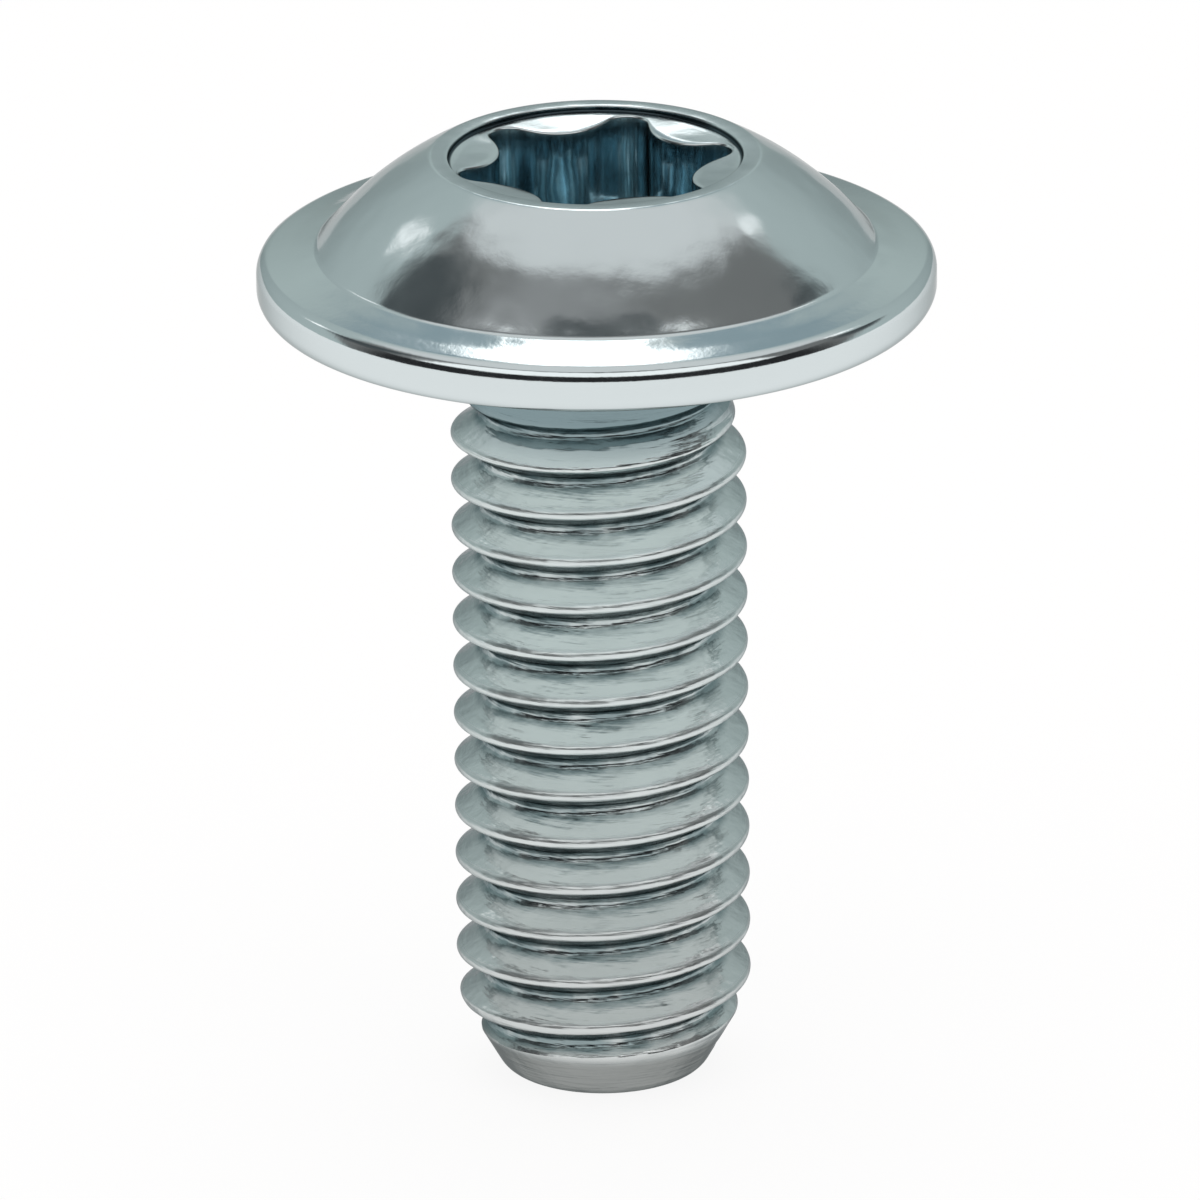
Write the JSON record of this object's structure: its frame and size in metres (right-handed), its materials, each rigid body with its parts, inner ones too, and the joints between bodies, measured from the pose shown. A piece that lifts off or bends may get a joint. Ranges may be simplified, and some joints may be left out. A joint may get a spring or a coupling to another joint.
{
  "type": "flanged button head screw",
  "caption": "Metric machine screw with a low domed head, an integral round flange, a six-lobe drive recess and a rolled right-hand thread, for clamping thin parts over a wide bearing face.",
  "frame": {"origin": "on the screw's axis, in the plane of the bearing face under the flange", "axes": "+Z along the axis from the tip to the head; the screw stands on the flat end of its shank"},
  "size_m": [0.0136, 0.0136, 0.0194],
  "materials": {
    "zinc_plated_steel": "bright zinc plate with a clear blue-white passivation"
  },
  "bodies": {
    "root": {"screw": "zinc_plated_steel"}
  },
  "joints": []
}
